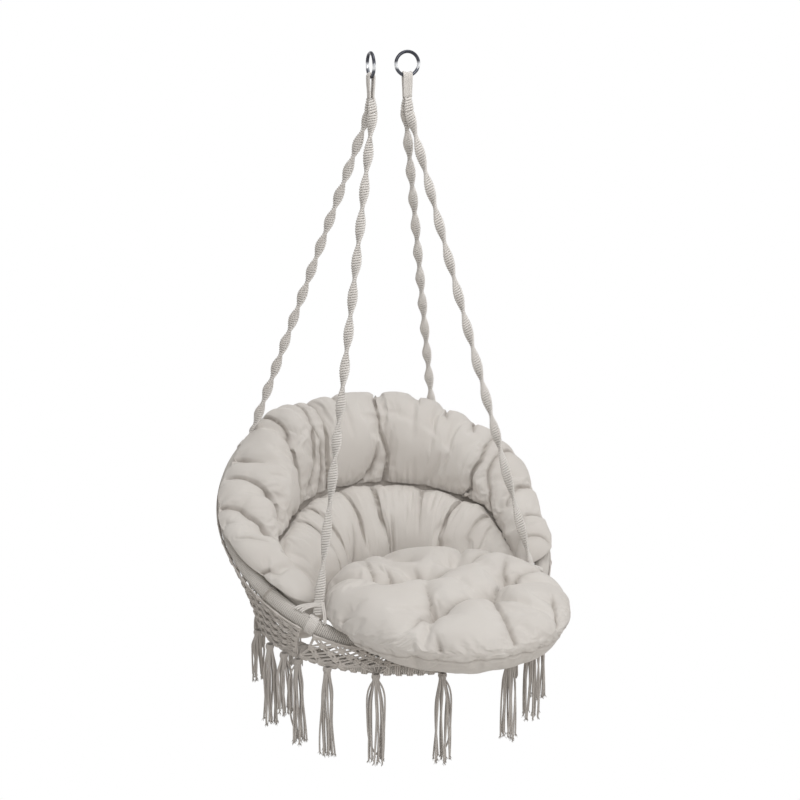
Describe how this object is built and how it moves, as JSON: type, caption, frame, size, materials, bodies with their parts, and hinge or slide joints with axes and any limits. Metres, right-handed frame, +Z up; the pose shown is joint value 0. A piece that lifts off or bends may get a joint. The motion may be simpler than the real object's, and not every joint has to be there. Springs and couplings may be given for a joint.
{
  "type": "hanging hammock chair",
  "caption": "Knotted-cord hanging chair: leaning bound hoop and seat hoop on twisted ropes, with net walls, tassels, a round seat cushion and a horseshoe back cushion.",
  "frame": {"origin": "midway between the two hooks, at the height where the rings rest on them", "axes": "+Z up, the chair faces -Y, +X to the right of someone who looks at its front"},
  "size_m": [0.8034, 0.9344, 1.5402],
  "materials": {
    "chromed_ring": "polished",
    "steel_tube": "satin, hidden under the winding",
    "cotton_cord": "matte twisted cord",
    "cushion_cloth": "matte woven cloth"
  },
  "bodies": {
    "hanging_rings": {"left_hanging_ring": "chromed_ring", "right_hanging_ring": "chromed_ring", "left_rope_eye": "cotton_cord", "right_rope_eye": "cotton_cord"},
    "chair": {"left_split_knot": "cotton_cord", "right_split_knot": "cotton_cord", "front_left_rope": "cotton_cord", "rear_left_rope": "cotton_cord", "front_right_rope": "cotton_cord", "rear_right_rope": "cotton_cord", "front_left_hitch": "cotton_cord", "rear_left_hitch": "cotton_cord", "front_right_hitch": "cotton_cord", "rear_right_hitch": "cotton_cord", "front_left_tie": "cushion_cloth", "rear_left_tie": "cushion_cloth", "front_right_tie": "cushion_cloth", "rear_right_tie": "cushion_cloth", "back_hoop_tube": "steel_tube", "back_hoop_winding": "cotton_cord", "seat_hoop_tube": "steel_tube", "seat_hoop_winding": "cotton_cord", "right_net": "cotton_cord", "back_net": "cotton_cord", "left_net": "cotton_cord", "front_net": "cotton_cord", "seat_net": "cotton_cord", "seat_cushion": "cushion_cloth", "back_cushion": "cushion_cloth"},
    "tassel_01": {"tassel_01": "cotton_cord"},
    "tassel_02": {"tassel_02": "cotton_cord"},
    "tassel_03": {"tassel_03": "cotton_cord"},
    "tassel_04": {"tassel_04": "cotton_cord"},
    "tassel_05": {"tassel_05": "cotton_cord"},
    "tassel_06": {"tassel_06": "cotton_cord"},
    "tassel_07": {"tassel_07": "cotton_cord"},
    "tassel_08": {"tassel_08": "cotton_cord"},
    "tassel_09": {"tassel_09": "cotton_cord"},
    "tassel_10": {"tassel_10": "cotton_cord"},
    "tassel_11": {"tassel_11": "cotton_cord"},
    "tassel_12": {"tassel_12": "cotton_cord"},
    "tassel_13": {"tassel_13": "cotton_cord"},
    "tassel_14": {"tassel_14": "cotton_cord"},
    "tassel_15": {"tassel_15": "cotton_cord"},
    "tassel_16": {"tassel_16": "cotton_cord"}
  },
  "joints": [
    {"name": "swing", "type": "hinge", "parent": "hanging_rings", "child": "chair", "pos_m": [0, 0, -0.10905], "axis": [1, 0, 0], "range_deg": [-25, 25]},
    {"name": "tassel_01_swing", "type": "hinge", "parent": "chair", "child": "tassel_01", "pos_m": [0.33191, -0.01284, -1.30765], "axis": [-0.0698, 0.9976, 0], "range_deg": [-25, 25]},
    {"name": "tassel_02_swing", "type": "hinge", "parent": "chair", "child": "tassel_02", "pos_m": [0.28824, 0.13026, -1.30264], "axis": [-0.5, 0.866, 0], "range_deg": [-25, 25]},
    {"name": "tassel_03_swing", "type": "hinge", "parent": "chair", "child": "tassel_03", "pos_m": [0.18689, 0.24078, -1.29678], "axis": [-0.829, 0.5592, 0], "range_deg": [-25, 25]},
    {"name": "tassel_04_swing", "type": "hinge", "parent": "chair", "child": "tassel_04", "pos_m": [0.04683, 0.29666, -1.29049], "axis": [-0.9903, 0.1392, 0], "range_deg": [-25, 25]},
    {"name": "tassel_05_swing", "type": "hinge", "parent": "chair", "child": "tassel_05", "pos_m": [-0.12542, 0.27409, -1.29377], "axis": [-0.9272, -0.3746, 0], "range_deg": [-25, 25]},
    {"name": "tassel_06_swing", "type": "hinge", "parent": "chair", "child": "tassel_06", "pos_m": [-0.26635, 0.16452, -1.30113], "axis": [-0.6018, -0.7986, 0], "range_deg": [-25, 25]},
    {"name": "tassel_07_swing", "type": "hinge", "parent": "chair", "child": "tassel_07", "pos_m": [-0.32535, 0.03307, -1.30637], "axis": [-0.2079, -0.9781, 0], "range_deg": [-25, 25]},
    {"name": "tassel_08_swing", "type": "hinge", "parent": "chair", "child": "tassel_08", "pos_m": [-0.33259, -0.05345, -1.30871], "axis": [0.0523, -0.9986, 0], "range_deg": [-25, 25]},
    {"name": "tassel_09_swing", "type": "hinge", "parent": "chair", "child": "tassel_09", "pos_m": [-0.32433, -0.1139, -1.30981], "axis": [0.2334, -0.9724, 0], "range_deg": [-25, 25]},
    {"name": "tassel_10_swing", "type": "hinge", "parent": "chair", "child": "tassel_10", "pos_m": [-0.31108, -0.15923, -1.30951], "axis": [0.3681, -0.9298, 0], "range_deg": [-25, 25]},
    {"name": "tassel_11_swing", "type": "hinge", "parent": "chair", "child": "tassel_11", "pos_m": [-0.27326, -0.23325, -1.30829], "axis": [0.585, -0.8111, 0], "range_deg": [-25, 25]},
    {"name": "tassel_12_swing", "type": "hinge", "parent": "chair", "child": "tassel_12", "pos_m": [-0.1931, -0.31185, -1.31104], "axis": [0.8191, -0.5736, 0], "range_deg": [-25, 25]},
    {"name": "tassel_13_swing", "type": "hinge", "parent": "chair", "child": "tassel_13", "pos_m": [-0.05844, -0.3676, -1.31298], "axis": [0.9848, -0.1736, 0], "range_deg": [-25, 25]},
    {"name": "tassel_14_swing", "type": "hinge", "parent": "chair", "child": "tassel_14", "pos_m": [0.12317, -0.34881, -1.31233], "axis": [0.9304, 0.3665, 0], "range_deg": [-25, 25]},
    {"name": "tassel_15_swing", "type": "hinge", "parent": "chair", "child": "tassel_15", "pos_m": [0.21601, -0.29357, -1.3104], "axis": [0.766, 0.6428, 0], "range_deg": [-25, 25]},
    {"name": "tassel_16_swing", "type": "hinge", "parent": "chair", "child": "tassel_16", "pos_m": [0.30596, -0.17232, -1.30936], "axis": [0.4067, 0.9135, 0], "range_deg": [-25, 25]}
  ]
}
